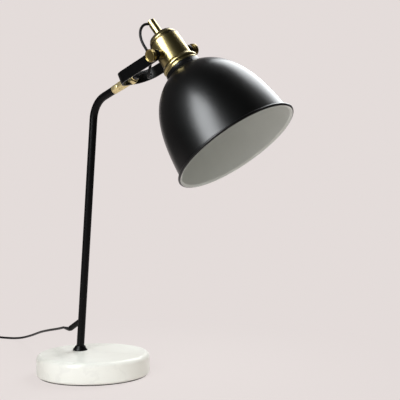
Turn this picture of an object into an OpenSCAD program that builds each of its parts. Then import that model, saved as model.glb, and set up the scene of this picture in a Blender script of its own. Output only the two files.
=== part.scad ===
// Desk lamp with a domed metal shade: a marble foot, a bent steel stem, a swivelling yoke and a
// tilting brass lamp holder, with its mains cord, cord switch and plug. All sizes are millimetres.
// The origin is the middle of the foot's underside. +Z is up, and the head leans out towards +X.

/* [Marble foot] */
// Diameter of the marble disc
base_d = 160; // [140:1:200]
// Thickness of the marble disc
base_t = 29.5; // [27:0.5:40]
// Rounding of the disc's upper edge
base_top_r = 7; // [3:0.5:10]
// Rounding of the disc's lower edge
base_low_r = 3; // [1:0.5:6]
// Thickness of the felt pad under the disc
felt_t = 1.5; // [1:0.1:4]
// How far the felt pad stays inside the disc's edge
felt_inset = 3.5; // [3:0.5:12]
// How far behind the middle of the disc the stem stands
stem_back = 30; // [10:1:45]

/* [Stem] */
// Outside diameter of the steel tube
tube_d = 11; // [10:0.1:13]
// Wall of the steel tube
tube_wall = 1; // [0.8:0.1:1.2]
// Forward lean of the stem, in degrees
stem_lean = 6.8; // [0:0.1:10]
// Length of the stem, from the disc to the corner that it would make with the arm
stem_len = 356; // [250:1:420]
// Radius of the bend, on the middle line of the tube
bend_r = 36.6; // [35:0.1:75]
// Rise of the arm above the horizontal, in degrees
arm_rise = 18.8; // [5:0.1:35]
// Straight length of tube between the bend and the brass ferrule
arm_straight = 23.8; // [5:0.1:60]

/* [Stem foot] */
// Diameter of the flared collar where it stands on the disc
collar_d = 21; // [17:0.5:28]
// Height of the flared collar
collar_h = 6.5; // [5:0.5:12]
// Wall of the collar at its upper end
collar_wall = 1.3; // [0.8:0.1:3]
// Length of the threaded stud inside the tube
stud_up = 22; // [12:1:32]
// Thickness of the marble between the collar and the washer
clamp_t = 15; // [10:0.5:18]
// Diameter of the recess under the disc
recess_d = 34; // [30:0.5:50]
// Diameter of the steel washer
washer_d = 27; // [22:0.5:29]
// Thickness of the steel washer
washer_t = 1.5; // [1:0.1:2.5]
// Width across the flats of the steel nut
nut_af = 17; // [14:0.5:20]
// Thickness of the steel nut
nut_t = 5; // [4:0.5:6]

/* [Cable outlet] */
// Distance up the stem from the disc to the outlet's root
outlet_up = 44.5; // [30:0.5:80]
// Slope of the outlet below the horizontal, in degrees
outlet_drop = 29; // [10:1:50]
// Length of the outlet from the stem's middle line
outlet_len = 31.5; // [20:0.5:34]
// Outside diameter of the outlet
outlet_d = 7.8; // [7:0.1:9]
// Bore of the outlet
outlet_bore = 5; // [4.4:0.1:6]
// Length of the strain relief outside the outlet
boot_l = 21; // [20:1:24]
// Diameter of the strain relief at its root
boot_root_d = 5.8; // [5.6:0.1:7.4]
// Diameter of the strain relief at its tip
boot_tip_d = 4.4; // [4.2:0.1:5.4]

/* [Ferrules] */
// Diameter of the brass ferrule on the arm
arm_ferrule_d = 11.8; // [11.4:0.1:14]
// Visible length of the ferrule on the arm
arm_ferrule_l = 12.5; // [8:0.5:20]
// Length of the ferrule's spigot inside the tube
spigot_l = 12; // [8:0.5:14]
// Diameter of the hollow stem that the yoke swivels on
swivel_stem_d = 8; // [7.4:0.1:9]
// Length of the hollow stem that the yoke swivels on
swivel_stem_l = 16; // [12:0.5:22]
// Bore that carries the lead through every fitting
lead_bore = 5; // [4.4:0.1:5.4]
// Diameter of the swivelling ferrule
yoke_ferrule_d = 12.4; // [12:0.1:16]
// Length of the swivelling ferrule
yoke_ferrule_l = 22.4; // [20:0.1:40]
// Diameter of the threaded nipple through the yoke
nipple_d = 10; // [8:0.1:11]
// Width across the flats of the brass nut inside the yoke
brass_nut_af = 14; // [13:0.5:17]
// Thickness of the brass nut inside the yoke
brass_nut_t = 7; // [4:0.5:8]
// Diameter of the cable bush
bush_d = 9.6; // [7:0.1:12]
// Length of the cable bush in front of the nipple
bush_l = 5.5; // [3:0.5:8]
// Diameter of the grub screw that keeps the swivel on its stem
grub_d = 3; // [2.5:0.1:4]

/* [Yoke] */
// Width of the flat strap
strap_w = 14.6; // [12:0.1:20]
// Thickness of the flat strap
strap_t = 2.3; // [1.5:0.1:3]
// Width of the opening between the two arms of the yoke
yoke_gap = 59.4; // [58:0.1:70]
// Depth of the yoke, from the inside of its base to the hinge
yoke_depth = 87; // [80:0.1:110]
// Outside radius of the yoke's two bends
yoke_bend_r = 23.8; // [8:0.1:24]
// Turn of the yoke about the arm as the lamp stands, in degrees
swivel = 10; // [-15:1:15]

/* [Head hinge] */
// Angle between the arm and the middle line of the head, in degrees
head_drop = 73.3; // [65:0.1:80]
// Diameter of the brass bosses on the cup
boss_d = 10; // [9:0.1:12]
// Diameter of the boss shoulder that the yoke turns on
journal_d = 8; // [7:0.1:8.4]
// Diameter of the friction washers
friction_d = 13; // [11:0.1:14]
// Thickness of the friction washers
friction_t = 1; // [0.6:0.1:1.5]
// Diameter of the thumbscrew knobs
knob_d = 16.6; // [12:0.1:18]
// Thickness of a knob's head
knob_t = 4.8; // [3:0.1:8]
// Diameter of a knob's neck
knob_neck_d = 11; // [9.5:0.1:12]
// Length of a knob's neck
knob_neck_l = 4.8; // [2:0.1:7]
// Diameter of a knob's screw
knob_screw_d = 5; // [4:0.1:5.4]

/* [Lamp holder] */
// Diameter of the brass cup
cup_d = 41.4; // [41:0.1:44]
// Wall of the brass cup
cup_wall = 1.2; // [0.8:0.1:1.4]
// Length of the cup above the hinge
cup_above = 20; // [18:0.5:30]
// Length of the cup below the hinge
cup_below = 14.5; // [11:0.5:20]
// Radius of the cap's rounded shoulder
shoulder_r = 6; // [5:0.5:8]
// Diameter of the small tube that the lead enters
entry_d = 11; // [10.4:0.1:12]
// Length of the small tube above its collar
entry_l = 22.7; // [17:0.1:24]
// Diameter of the small tube's collar
entry_collar_d = 16; // [13:0.5:18]
// Thickness of the small tube's collar
entry_collar_t = 2; // [1:0.1:3]
// Thickness of the hexagon nut inside the cap
cap_nut_t = 3; // [2:0.5:4]
// Diameter of the gallery ring
gallery_d = 49; // [47:0.1:54]
// Height of the gallery ring
gallery_h = 11; // [9:0.5:12]
// Diameter of the insulating insert's threaded skirt
skirt_d = 38; // [36:0.1:38.2]
// Length of the insert's skirt below the gallery ring
skirt_l = 10.5; // [9:0.5:16]
// Radius inside the lamp's screw shell
shell_r = 13.3; // [12:0.1:13.5]
// Wall of the screw shell
shell_wall = 0.7; // [0.5:0.1:0.9]
// Length of the screw shell
shell_l = 27; // [22:0.5:30]

/* [Shade] */
// Diameter of the shade over its rolled rim
shade_d = 169; // [140:1:190]
// Wall of the shade
shade_wall = 0.8; // [0.6:0.1:1.2]
// Diameter of the shade's neck
neck_d = 49.6; // [47:0.1:54]
// Height of the shade's neck
neck_h = 6.5; // [6:0.5:14]
// Height of the dome, from the neck to the rim
dome_h = 121.8; // [90:0.1:150]
// Angle at which the dome leaves the neck, in degrees from the middle line
dome_start = 65; // [50:1:75]
// Diameter of the rolled rim
rim_d = 3.8; // [2.4:0.1:5]
// How far the rim stands outside the dome
rim_out = 2.8; // [1.5:0.1:5]
// Outside diameter of the ring that clamps the shade
shade_ring_d = 45; // [42:0.5:45.6]
// Height of the ring that clamps the shade
shade_ring_h = 5; // [3:0.5:7]

/* [Cord] */
// Diameter of the mains cord
cord_d = 3.6; // [3.2:0.1:3.9]
// Radius of the coil at the middle of its turns
coil_r = 21.6; // [20:0.1:22]

/* [Cord switch] */
// Length of the switch
switch_l = 62; // [56:1:70]
// Width of the switch
switch_w = 26; // [24:0.5:32]
// Height of the switch
switch_h = 15.5; // [14:0.5:20]
// Height of the cord's middle line in the switch
switch_split = 4.5; // [4:0.1:6]
// Wall of the switch's shells
switch_wall = 2; // [1.5:0.1:2.4]
// Radius of the rocker about its pin
rocker_r = 9.8; // [8:0.1:11]
// Width of the rocker
rocker_w = 12.6; // [9:0.1:13]
// Diameter of the rocker's pin
pin_d = 2.5; // [2:0.1:3]
// Tilt of the rocker to each side, in degrees
rocker_tilt = 8; // [5:0.5:10]

/* [Plug] */
// Width of the plug's body
plug_w = 34; // [30:0.5:36]
// Thickness of the plug's body
plug_t = 13.7; // [12:0.1:16]
// Length of the plug's body
plug_l = 36; // [30:0.5:42]
// Diameter of the plug's pins
plug_pin_d = 4; // [3.8:0.1:4.8]
// Length of a pin in front of the plug
plug_pin_l = 19; // [17:0.5:20]
// Distance between the two pins
plug_pin_gap = 18.6; // [17:0.1:19]
// Length of the plug's strain relief
plug_boot_l = 22; // [20:0.5:25]

/* [Hidden] */
$fn = 64;
far = 400;            // longer than any cut needs
turn_fit = 0.05;      // radial clearance where one piece turns on another
seat_fit = 0.05;      // radial clearance where one piece is pressed or screwed into another
face_gap = 0.1;       // clearance between faces that rub
swivel_gap = 0.4;     // seam between the two ferrules
cord_fit = 0.2;       // radial clearance of a cord in its hole
cap_skirt_t = 1.15;   // thickness of the cap's skirt inside the cup
bend_swell = 0.02;    // how much thicker a tube is in its bend
bend_lap = 0.2;       // how far the straight tube runs on into its bend

black = "#17171a";
brass = "#9a7f45";
pale_brass = "#c9b36c";
steel = "#9da1a6";

base_top = felt_t + base_t;
tube_bore = tube_d - 2 * tube_wall;
tube_start = tube_d / 2 * tan(stem_lean) + face_gap;
stud_d = tube_bore - 2 * seat_fit;
stud_low = clamp_t + washer_t + nut_t + 1;
bend_turn = 90 - stem_lean - arm_rise;
bend_reach = bend_r * tan(bend_turn / 2);

// Distances back along the arm from the hinge
yoke_back = yoke_depth + strap_t;
yoke_ferrule_back = yoke_back + yoke_ferrule_l;
arm_ferrule_front = yoke_ferrule_back + swivel_gap;
arm_ferrule_back = arm_ferrule_front + arm_ferrule_l;
swivel_tip_back = arm_ferrule_front - swivel_stem_l;
nipple_tip_back = yoke_depth - brass_nut_t - 1.5;
corner_back = arm_ferrule_back + arm_straight + bend_reach;

corner = [stem_len * sin(stem_lean) - stem_back, 0, base_top + stem_len * cos(stem_lean)];
hinge = corner + corner_back * [cos(arm_rise), 0, sin(arm_rise)];

// Sideways distances from the middle of the head, along the hinge
arm_in = yoke_gap / 2;
arm_out = arm_in + strap_t;
boss_out = arm_in - face_gap - friction_t;
knob_in = arm_out + 2 * face_gap;

// Distances along the head from the hinge, positive towards the shade's mouth
cup_r = cup_d / 2;
cup_in = cup_r - cup_wall;
cap_in = cup_in - seat_fit - cap_skirt_t;
cap_skirt_l = 5;
cap_lip = 0.8;         // thickness of the cap's lip on the cup's edge
cap_groove = 0.8;      // width of the groove above the lip
cap_step = 1.5;        // height of the step around the cap's top
cap_slope = 0.3;       // rise from the step to the small tube's collar
cap_top_t = 1.2;
shoulder_end = 55;
shoulder_mid = cup_r - 1.2 - shoulder_r;
shoulder_at = cup_above + cap_lip + cap_groove;
step_r = shoulder_mid + shoulder_r * cos(shoulder_end);
cap_line = -shoulder_at - shoulder_r * sin(shoulder_end);
cap_top = cap_line - cap_step - cap_slope;
entry_top = cap_top - entry_collar_t - entry_l;
entry_bore = entry_d - 2;
entry_nipple_d = 10;
slot_l = 4.8;
slot_w = cord_d + 2.4;
insert_d = 2 * (cap_in - 0.5);
insert_top = -14;
insert_floor = -1;
insert_end = cup_below + gallery_h + skirt_l;
flange_top = cup_below + gallery_h;
shell_top = 3;
shade_start = flange_top + neck_h;
shade_end = shade_start + dome_h;
dome_r = shade_d / 2 - rim_d / 2 - rim_out + 0.1;

// Cord, in the same frame as the lamp. The first point is the tip of the strain relief.
outlet_root = [stem_back * -1 + outlet_up * sin(stem_lean), 0, base_top + outlet_up * cos(stem_lean)];
outlet_aim = [-cos(outlet_drop), 0, -sin(outlet_drop)];
outlet_mouth = outlet_root + outlet_len * outlet_aim;
cord_rest = cord_d / 2 + 0.05;
switch_at = [-417, 72, 0];
switch_face = switch_at.x + switch_l / 2;
cord_tip = [-73, 6.5, 57.2];
cord_way = unit([-8, 3, -0.6]);
boot_points = [
    outlet_mouth, outlet_mouth + 3 * outlet_aim, cord_tip - 9 * cord_way, cord_tip - 4.5 * cord_way, cord_tip
];
cord_points = [
    cord_tip, cord_tip + 5 * cord_way, cord_tip + 11 * cord_way, [-95, 14.5, 53.8], [-115, 21, 49.5],
    [-157, 36, 41], [-207, 55, 30], [-257, 73, 17], [-298, 83, 7], [-322, 83, 3],
    [-341, 79, cord_rest], [-356, 74.5, cord_rest], [switch_face + 15, 72.2, 3.3],
    [switch_face + 8, switch_at.y, switch_split], [switch_face + 3, switch_at.y, switch_split],
    [switch_face - 2, switch_at.y, switch_split]
];

// Lead between the arm and the lamp holder: distance along the arm, across, and up, from the hinge
lead_points = [
    [-swivel_tip_back + 0.3, 0, 0], [-86, 0, 0], [-76, 0, 0], [-72, 0.2, 0], [-65.5, 2, 0.3],
    [-59.3, 4.2, -1], [-54.8, 4.6, -5.6], [-53.4, 1.5, -10.2], [-51.8, -3.4, -12.2], [-47.5, -7.6, -11.6],
    [-41.5, -10.8, -9], [-34, -13.2, -4.6], [-27, -15.5, 1], [-23.2, -18, 8.5], [-22.1, -19.6, 16],
    [-22.9, -20.6, 24], [-23.2, -20.6, 31], [-22.7, -19.6, 37.5], [-21.6, -17.2, 43.1],
    [-21, -13.6, 46.6], [-20.7, -10.2, 48.6], [-19.7, -6.9, 49.4], [-17.9, -3.9, 48.7], [-15.6, -1.6, 47.4],
    [-13.9, -0.3, 44.9], [-12.5, 0, 41.6], [-11.2, 0, 37.36]
];
lead_end = -14.7;

// Coil: layers of turns that wind in and out again, seen from above
coil_layers = 4;
coil_turns = 2;
coil_pitch = cord_d + 1.1;
coil_rise = cord_d + 0.5;
coil_out = coil_r + coil_turns * coil_pitch / 2;
coil_in = coil_r - coil_turns * coil_pitch / 2;
coil_block = 360 * coil_turns + 180;
coil_sweep = coil_block * coil_layers - 180;
coil_run = 20;
coil_at = [switch_at.x - switch_l / 2 - coil_run, switch_at.y - coil_out];
coil_top = cord_rest + (coil_layers - 1) * coil_rise;
plug_tip = [coil_at.x + 40, coil_at.y - coil_out, plug_t / 2];

// ---------- Frames ----------

// Z runs up the stem from the top of the disc
module along_stem() translate([-stem_back, 0, base_top]) rotate([0, stem_lean, 0]) children();

// X runs forward along the arm, with the hinge at the origin
module at_arm() translate(hinge) rotate([0, -arm_rise, 0]) children();

// As at_arm, turned with the yoke: Y is the hinge
module at_yoke() at_arm() rotate([swivel, 0, 0]) children();

// Z runs from the hinge to the shade's mouth
module at_head() at_yoke() rotate([0, 90 + head_drop, 0]) children();

// Z runs forward along the arm from a distance behind the hinge
module on_arm(back) translate([-back, 0, 0]) rotate([0, 90, 0]) children();

// Z runs outwards along the hinge, to the far side (1) or the near side (-1)
module on_hinge(side) rotate([-90 * side, 0, 0]) children();

// ---------- Shared shapes ----------

module ring(outer_d, inner_d, height) difference() {
    cylinder(d = outer_d, h = height);
    translate([0, 0, -1]) cylinder(d = inner_d, h = height + 2);
}

module hexagon(across, height) cylinder(d = across / cos(30), h = height, $fn = 6);

// A bent rod of diameter d, from a height on the stem to a distance beyond the corner on the arm
module bent_rod(d, low, arm_end) {
    run = stem_len - bend_reach - low;
    translate([0, 0, low + run]) {
        translate([0, 0, -run]) cylinder(d = d, h = run + bend_lap);
        translate([bend_r, 0, 0]) {
            mirror([1, 0, 0]) rotate([90, 0, 0]) rotate_extrude(angle = bend_turn, $fn = 96)
                translate([bend_r, 0]) circle(d = d + bend_swell);
            rotate([0, bend_turn, 0]) translate([-bend_r, 0, -bend_lap])
                cylinder(d = d, h = arm_end - bend_reach + bend_lap);
        }
    }
}

function unit(v) = v / norm(v);

// v turned as a is turned onto b
function carried(v, a, b) =
    let (k = cross(a, b), c = a * b) v * c + cross(k, v) + k * (k * v) / (1 + c);

// A smooth curve through points p, with a point about every step
function curve(p, step) = [
    for (i = [0:len(p) - 2])
        let (a = p[max(i - 1, 0)], b = p[i], c = p[i + 1], d = p[min(i + 2, len(p) - 1)],
             n = max(1, round(norm(c - b) / step)))
        for (j = [0:(i == len(p) - 2 ? n : n - 1)])
            let (t = j / n)
            (2 * b + (c - a) * t + (2 * a - 5 * b + 4 * c - d) * t ^ 2
             + (3 * b - a - 3 * c + d) * t ^ 3) / 2
];

// Points on the arc of radius r that rounds a corner, whose two lines leave it along u and v
function rounded(corner, u, v, r, steps) =
    let (turn = acos(-(u * v)), mid = corner + unit(u + v) * r / cos(turn / 2),
         a = corner + u * r * tan(turn / 2) - mid, b = corner + v * r * tan(turn / 2) - mid)
    [for (i = [0:steps]) mid + (sin(turn - turn * i / steps) * a + sin(turn * i / steps) * b) / sin(turn)];

function headings(p) = [
    for (i = [0:len(p) - 1]) unit(p[min(i + 1, len(p) - 1)] - p[max(i - 1, 0)])
];

// A tube along path p, from diameter d1 at its start to d2 at its end
module tube(p, d1, d2, sides) {
    t = headings(p);
    first = unit(cross(t[0], abs(t[0].z) > 0.9 ? [1, 0, 0] : [0, 0, 1]));
    n = [for (i = 0, v = first; i < len(p); i = i + 1, v = i < len(p) ? carried(v, t[i - 1], t[i]) : v) v];
    last = len(p) - 1;
    polyhedron(
        points = [
            for (i = [0:last]) let (r = (d1 + (d2 - d1) * i / last) / 2, u = cross(t[i], n[i]))
                for (j = [0:sides - 1]) p[i] + r * (cos(360 * j / sides) * n[i] + sin(360 * j / sides) * u)
        ],
        faces = concat(
            [for (i = [0:last - 1]) for (j = [0:sides - 1])
                let (k = (j + 1) % sides, a = i * sides, b = a + sides)
                for (f = [[a + j, b + j, b + k], [a + j, b + k, a + k]]) f],
            [for (j = [1:sides - 2]) [0, j, j + 1]],
            [for (j = [1:sides - 2]) last * sides * [1, 1, 1] + [0, j + 1, j]]
        )
    );
}

// ---------- Foot ----------

module felt_pad() color("#3a3734") cylinder(d = base_d - 2 * felt_inset, h = felt_t, $fn = 128);

// A quarter round between two edges of an outline
function quarter(mid, r, from) = [
    for (a = [0:10:90]) mid + r * [cos(from + a), sin(from + a)]
];

module marble_base() color("#e8e6e0") difference() {
    translate([0, 0, felt_t]) rotate_extrude($fn = 128) polygon(concat(
        [[0, 0]],
        quarter([base_d / 2 - base_low_r, base_low_r], base_low_r, -90),
        quarter([base_d / 2 - base_top_r, base_t - base_top_r], base_top_r, 0),
        [[0, base_t]]
    ));
    along_stem() translate([0, 0, -far / 2]) cylinder(d = stud_d + 2 * seat_fit, h = far);
    along_stem() translate([0, 0, -clamp_t - far / 2]) cylinder(d = recess_d, h = far / 2);
}

module stem_collar() color(black) intersection() {
    along_stem() translate([0, 0, -2]) difference() {
        union() {
            cylinder(d = collar_d, h = 3.2);
            translate([0, 0, 3.2])
                cylinder(d1 = collar_d - 1, d2 = tube_d + 2 * collar_wall, h = collar_h - 1.2);
        }
        translate([0, 0, -1]) cylinder(d = tube_d + 2 * seat_fit, h = collar_h + 4);
    }
    translate([-far / 2, -far / 2, base_top]) cube(far);
}

module stem_stud() color(steel) along_stem() translate([0, 0, -stud_low])
    ring(stud_d, lead_bore, stud_low + tube_start + stud_up);

module base_washer() color(steel) along_stem() translate([0, 0, -clamp_t - washer_t])
    ring(washer_d, stud_d + 2 * seat_fit, washer_t);

module base_nut() color(steel) along_stem() translate([0, 0, -clamp_t - washer_t - nut_t]) difference() {
    hexagon(nut_af, nut_t);
    translate([0, 0, -1]) cylinder(d = stud_d + 2 * seat_fit, h = nut_t + 2);
}

// ---------- Stem ----------

module at_outlet() translate(outlet_root) rotate([0, -90 - outlet_drop, 0]) children();

module stem_tube() color(black) difference() {
    along_stem() difference() {
        bent_rod(tube_d, tube_start, corner_back - arm_ferrule_back);
        bent_rod(tube_bore, 0, corner_back);
    }
    at_outlet() cylinder(d = outlet_bore, h = tube_d);
}

module cord_outlet() color(black) difference() {
    at_outlet() ring(outlet_d, outlet_bore, outlet_len);
    along_stem() cylinder(d = tube_d, h = stem_len / 2);
}

// The moulded strain relief: a plug in the outlet's bore and a tapered, bent sleeve outside it
module cord_boot() color(black) {
    at_outlet() translate([0, 0, outlet_len - 6]) cylinder(d = outlet_bore - 2 * seat_fit, h = 6);
    tube(curve(boot_points, 2.6), boot_root_d, boot_tip_d, 12);
}

stem_way = [sin(stem_lean), 0, cos(stem_lean)];
arm_way = [cos(arm_rise), 0, sin(arm_rise)];
lead_path = concat(
    [outlet_mouth - 6.3 * outlet_aim], rounded(outlet_root, outlet_aim, stem_way, 6, 6),
    rounded(corner, -stem_way, arm_way, bend_r, 8), [hinge - swivel_tip_back * arm_way]
);

// The cord inside the stem, from the strain relief to the end of the hollow swivel stem
module stem_lead() color("#222225") tube(lead_path, cord_d, cord_d, 8);

// ---------- Ferrules and yoke ----------

groove_back = arm_ferrule_front - swivel_stem_l / 2;
groove_d = (swivel_stem_d + lead_bore) / 2 + 0.4;
tip_d = grub_d - 0.8;

module arm_ferrule() color(pale_brass) at_arm() difference() {
    union() {
        on_arm(arm_ferrule_back) cylinder(d = arm_ferrule_d, h = arm_ferrule_l);
        on_arm(arm_ferrule_back + spigot_l) cylinder(d = tube_bore - 2 * seat_fit, h = spigot_l + 1);
        on_arm(arm_ferrule_front + 1) cylinder(d = swivel_stem_d, h = swivel_stem_l + 1);
    }
    on_arm(arm_ferrule_back + spigot_l + 1) cylinder(d = lead_bore, h = far / 4);
    on_arm(groove_back + tip_d / 2 + 0.2) ring(swivel_stem_d + 2, groove_d, tip_d + 0.4);
}

module yoke_ferrule() color(pale_brass) at_yoke() difference() {
    union() {
        on_arm(yoke_ferrule_back) cylinder(d = yoke_ferrule_d, h = yoke_ferrule_l);
        on_arm(yoke_back + 1) cylinder(d = nipple_d, h = yoke_back + 1 - nipple_tip_back);
    }
    on_arm(yoke_ferrule_back + 1)
        cylinder(d = swivel_stem_d + 2 * turn_fit, h = swivel_stem_l - swivel_gap + 1.4);
    on_arm(yoke_ferrule_back + 1) cylinder(d = lead_bore, h = far / 4);
    translate([-groove_back, 0, -yoke_ferrule_d]) cylinder(d = grub_d + 2 * seat_fit, h = yoke_ferrule_d);
}

module swivel_screw() color(steel) at_yoke() translate([-groove_back, 0, 0]) rotate([180, 0, 0]) {
    translate([0, 0, groove_d / 2 + 0.15]) cylinder(d = tip_d, h = 1);
    translate([0, 0, swivel_stem_d / 2 + 0.1])
        cylinder(d = grub_d, h = (yoke_ferrule_d - swivel_stem_d) / 2 - 0.4);
}

// The outline of the yoke seen along its width, r being the radius of its two bends
module yoke_outline(back, half, r) {
    for (side = [-1, 1]) translate([r - back, side * (half - r)]) circle(r = r, $fn = 96);
    translate([-back, r - half]) square([r, 2 * (half - r)]);
    translate([r - back, -half]) square([far / 2, 2 * half]);
}

module yoke_strap() color(black) at_yoke() difference() {
    intersection() {
        translate([0, 0, -strap_w / 2]) linear_extrude(strap_w) difference() {
            yoke_outline(yoke_back, arm_out, yoke_bend_r);
            yoke_outline(yoke_depth, arm_in, yoke_bend_r - strap_t);
        }
        union() {
            translate([-far / 2, -far / 4, -strap_w]) cube([far / 2, far / 2, 2 * strap_w]);
            rotate([90, 0, 0]) cylinder(d = strap_w, h = far / 2, center = true);
        }
    }
    rotate([90, 0, 0]) cylinder(d = journal_d + 2 * turn_fit, h = far / 2, center = true);
    on_arm(yoke_back + 1) cylinder(d = nipple_d + 2 * seat_fit, h = strap_t + 2);
}

module yoke_nut() color(pale_brass) at_yoke() on_arm(yoke_depth) difference() {
    hexagon(brass_nut_af, brass_nut_t);
    translate([0, 0, -1]) cylinder(d = nipple_d + 2 * seat_fit, h = brass_nut_t + 2);
}

module cable_bush() color("#26262b") at_yoke() difference() {
    union() {
        on_arm(nipple_tip_back + 4) cylinder(d = lead_bore - 2 * seat_fit, h = 5);
        on_arm(nipple_tip_back) cylinder(d = bush_d, h = bush_l);
    }
    on_arm(nipple_tip_back + 5) cylinder(d = min(cord_d + 2 * cord_fit, lead_bore - 0.6), h = bush_l + 6);
}

// The point on the head's middle line at a distance t from the hinge, in the yoke's frame
function on_head(t) = t * [cos(head_drop), 0, -sin(head_drop)];

module jumper_lead() color("#1b1b1e") at_yoke()
    tube(curve(concat(lead_points, [on_head(-32), on_head(-24), on_head(lead_end)]), 3), cord_d, cord_d, 8);

// ---------- Head hinge ----------

module hinge_bosses() color(brass) at_head() for (side = [-1, 1]) on_hinge(side) difference() {
    union() {
        cylinder(d = boss_d - 3, h = boss_out);
        difference() {
            cylinder(d = boss_d, h = boss_out);
            rotate([90, 0, 0]) cylinder(r = cup_r, h = far / 2, center = true);
        }
        translate([0, 0, boss_out - 1]) cylinder(d = journal_d, h = arm_out - face_gap - boss_out + 1);
    }
    translate([0, 0, -1]) cylinder(d = knob_screw_d + 2 * turn_fit, h = far / 4);
    rotate([90, 0, 0]) cylinder(r = cup_in - 0.6, h = far / 2, center = true);
}

module hinge_washers() color("#5b5148") at_head() for (side = [-1, 1]) on_hinge(side)
    translate([0, 0, boss_out]) ring(friction_d, journal_d + 2 * seat_fit, friction_t);

// A thumbscrew: its dished head, its neck and the screw that runs into the boss
module knob() {
    rotate_extrude() polygon([
        [0, cup_r + 1], [knob_screw_d / 2, cup_r + 1], [knob_screw_d / 2, knob_in],
        [knob_neck_d / 2, knob_in], [knob_neck_d / 2, knob_in + knob_neck_l],
        [knob_d / 2 - 0.6, knob_in + knob_neck_l], [knob_d / 2, knob_in + knob_neck_l + 0.6],
        [knob_d / 2, knob_in + knob_neck_l + knob_t - 0.5],
        [knob_d / 2 - 0.5, knob_in + knob_neck_l + knob_t],
        [knob_d / 2 - 1.3, knob_in + knob_neck_l + knob_t],
        [knob_d / 2 - 1.8, knob_in + knob_neck_l + knob_t - 0.8],
        [0, knob_in + knob_neck_l + knob_t - 0.8]
    ]);
}

module near_knob() color(brass) at_head() on_hinge(-1) knob();

module far_knob() color(brass) at_head() on_hinge(1) knob();

// ---------- Lamp holder ----------

module cord_tube() color(brass) at_head() difference() {
    union() {
        translate([0, 0, entry_top]) cylinder(d = entry_d, h = entry_l + 1);
        translate([0, 0, cap_top - entry_collar_t]) cylinder(d = entry_collar_d, h = entry_collar_t);
        translate([0, 0, cap_top - 1]) cylinder(d = entry_nipple_d, h = 1 + cap_top_t + cap_nut_t + 1);
    }
    translate([0, 0, entry_top - 1]) cylinder(d = entry_bore, h = entry_l);
    translate([0, 0, entry_top]) cylinder(d = lead_bore, h = far / 4);
    rotate([0, 0, 45]) translate([-slot_w / 2, -entry_d, entry_top - 1]) cube([slot_w, entry_d, slot_l + 1]);
}

module cap_nut() color(brass) at_head() translate([0, 0, cap_top + cap_top_t]) difference() {
    hexagon(14, cap_nut_t);
    translate([0, 0, -1]) cylinder(d = entry_nipple_d + 2 * seat_fit, h = cap_nut_t + 2);
}

// Points on the cap's shoulder, at a radius r about the middle of the shoulder's curve
function shoulder(r, from, to) = [
    for (i = [0:8]) let (a = from + (to - from) * i / 8)
        [shoulder_mid + r * cos(a), -shoulder_at - r * sin(a)]
];

module cup_cap() color(brass) at_head() rotate_extrude($fn = 96) {
    inner_r = cap_in - shoulder_mid;
    hole_r = entry_nipple_d / 2 + seat_fit;
    flat_r = 8.2;
    polygon(concat(
        [[cup_in - seat_fit, cap_skirt_l - cup_above], [cup_in - seat_fit, -cup_above]],
        [[cup_r - 0.3, -cup_above], [cup_r - 0.2, 0.2 - cup_above - cap_lip], [cup_r - 0.5, -cup_above - cap_lip]],
        [[cup_r - 1.6, -cup_above - cap_lip], [cup_r - 1.6, 0.2 - shoulder_at]],
        shoulder(shoulder_r, 0, shoulder_end),
        [[step_r - 0.2, cap_line - cap_step + 0.5], [step_r - 0.7, cap_line - cap_step]],
        [[flat_r, cap_top], [hole_r, cap_top], [hole_r, cap_top + cap_top_t], [flat_r, cap_top + cap_top_t]],
        [[step_r - 1.5, cap_line - 0.3]],
        shoulder(inner_r, shoulder_end - 5, 0),
        [[cap_in, cap_skirt_l - cup_above]]
    ));
}

module holder_cup() color(brass) at_head() difference() {
    translate([0, 0, -cup_above]) ring(cup_d, 2 * cup_in, cup_above + cup_below, $fn = 96);
    rotate([90, 0, 0]) cylinder(d = boss_d - 3 + 2 * seat_fit, h = far / 2, center = true);
}

skirt_in = skirt_d / 2 + seat_fit;
ring_top = cup_below;

// Flares from the cup to a rounded bead, with a thin flange below it that sits on the shade
module gallery_ring() color(brass) at_head() rotate_extrude($fn = 96) polygon(concat(
    [[skirt_in, ring_top], [cup_r + 0.2, ring_top], [cup_r + 0.4, ring_top + 0.8]],
    [for (a = [-80:20:60]) [gallery_d / 2 - 2.8 + 2.8 * cos(a), ring_top + 5 + 2.8 * sin(a)]],
    [[gallery_d / 2 - 1.5, flange_top - 2.7], [gallery_d / 2 - 0.7, flange_top - 2.4]],
    [[gallery_d / 2 - 0.5, flange_top - 1.2], [gallery_d / 2 - 0.9, flange_top - 0.2]],
    [[gallery_d / 2 - 1.4, flange_top], [skirt_in, flange_top]]
));

screw_at = 9;

module holder_insert() color("#1d1b1a") at_head() difference() {
    union() {
        translate([0, 0, insert_top]) cylinder(d = insert_d, h = cup_below - insert_top);
        translate([0, 0, cup_below - 4]) cylinder(r = cup_in - 2 * seat_fit, h = 4);
        translate([0, 0, cup_below - 1]) cylinder(d = skirt_d, h = insert_end - cup_below + 1);
    }
    translate([0, 0, insert_floor]) cylinder(r = shell_r + shell_wall + seat_fit, h = far / 4);
    translate([0, 0, insert_top - 1]) cylinder(d = 3.2, h = far / 4);
    for (side = [-1, 1]) translate([side * screw_at, 0, insert_top - 1]) cylinder(d = 3.1, h = 9);
}

module screw_shell() color(pale_brass) at_head() difference() {
    union() {
        translate([0, 0, shell_top]) ring(2 * (shell_r + shell_wall), 2 * shell_r, shell_l);
        translate([0, 0, insert_floor]) ring(2 * (shell_r + shell_wall), 2 * shell_r - 3, shell_top - insert_floor);
    }
}

module centre_contact() color(pale_brass) at_head() {
    translate([0, 0, insert_floor]) cylinder(d = 8, h = 1.2);
    translate([0, 0, insert_top]) cylinder(d = 3, h = insert_floor - insert_top + 0.6);
}

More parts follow.
